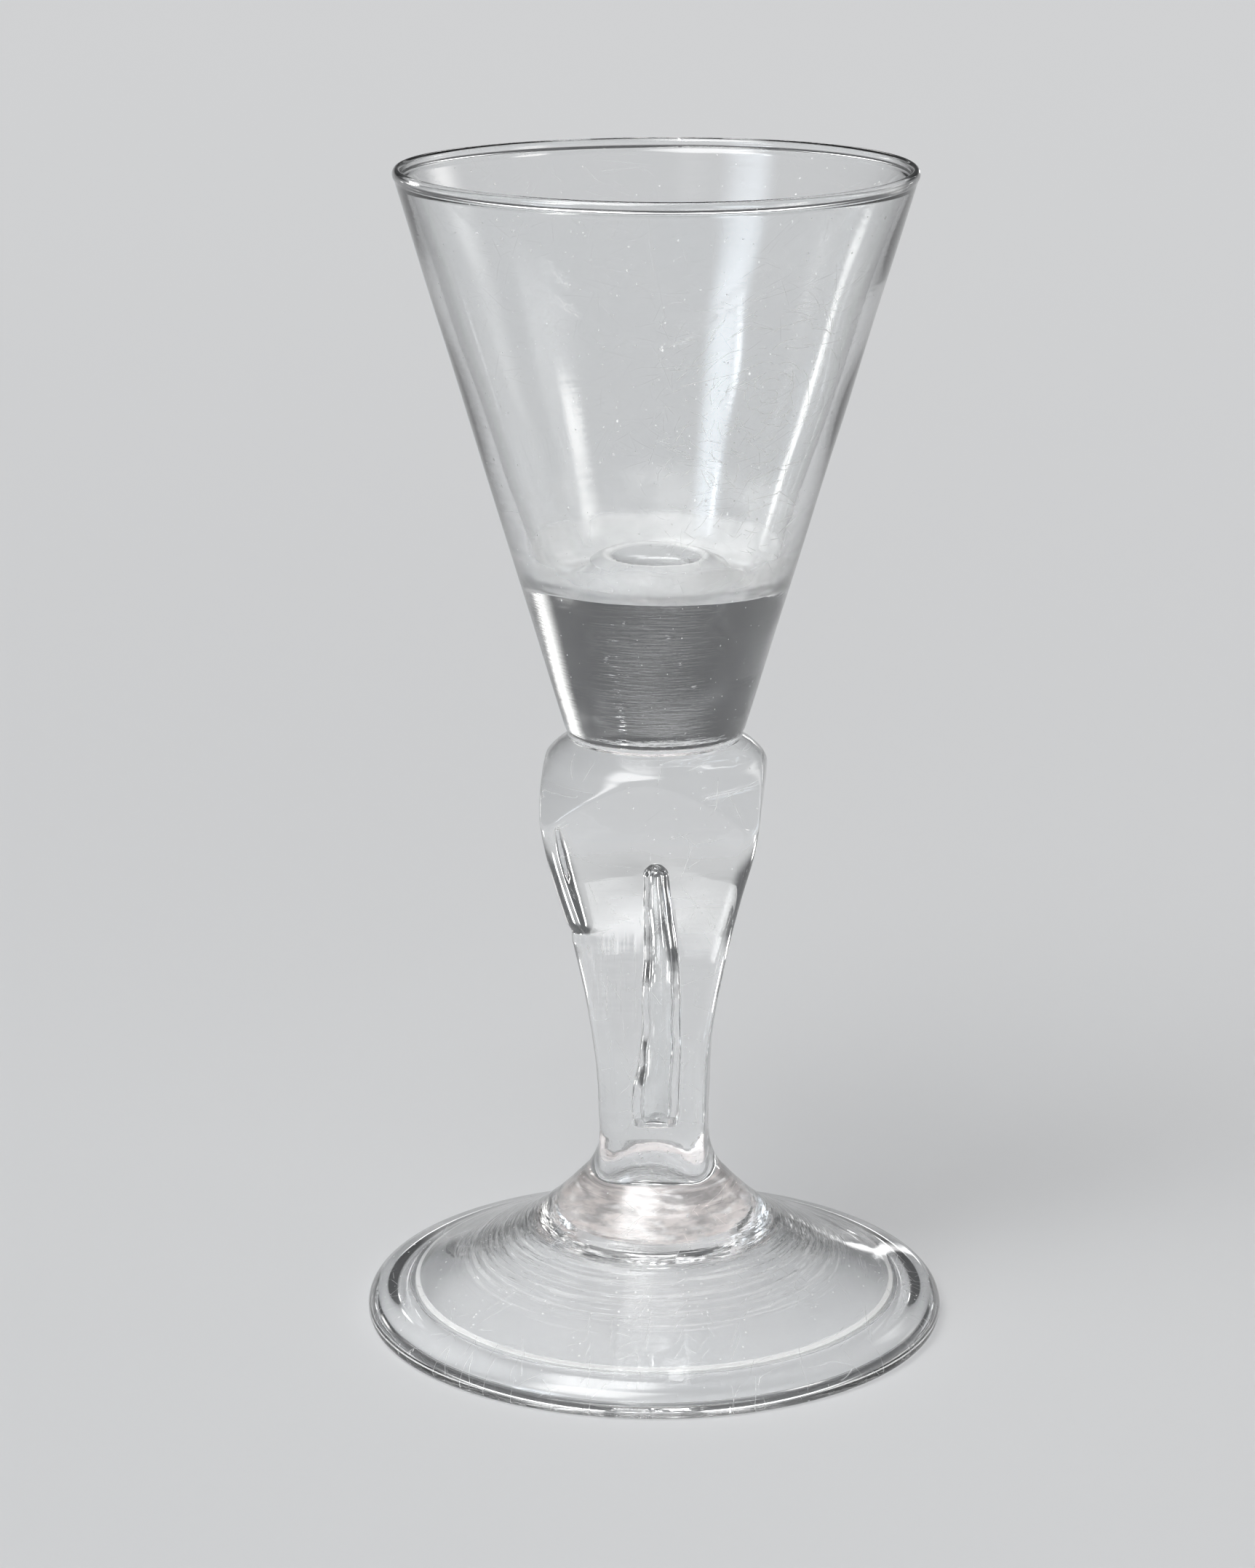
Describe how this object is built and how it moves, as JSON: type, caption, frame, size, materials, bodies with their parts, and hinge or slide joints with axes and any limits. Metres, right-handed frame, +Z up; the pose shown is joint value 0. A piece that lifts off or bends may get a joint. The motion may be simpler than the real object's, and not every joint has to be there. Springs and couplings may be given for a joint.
{
  "type": "wine glass",
  "caption": "Clear lead-glass wine glass: straight conical bowl, four-sided pedestal stem with an air tear, domed foot with a folded rim.",
  "frame": {"origin": "middle of the foot, on the surface that the glass stands on", "axes": "+Z up along the stem; -Y towards the front of the stem, whose faces are turned 4 degrees from the X and Y axes"},
  "size_m": [0.0826, 0.0826, 0.165],
  "materials": {
    "bowl_glass": "clear fire-polished lead glass with fine use scratches",
    "stem_glass": "clear pressed and fire-polished lead glass with seeds and tool marks",
    "base_glass": "clear fire-polished lead glass",
    "foot_glass": "clear lead glass with turned swirls, a folded rim and a rough pontil scar below"
  },
  "bodies": {
    "root": {"bowl": "bowl_glass", "pedestal_stem": "stem_glass", "stem_base": "base_glass", "foot": "foot_glass"}
  },
  "joints": []
}
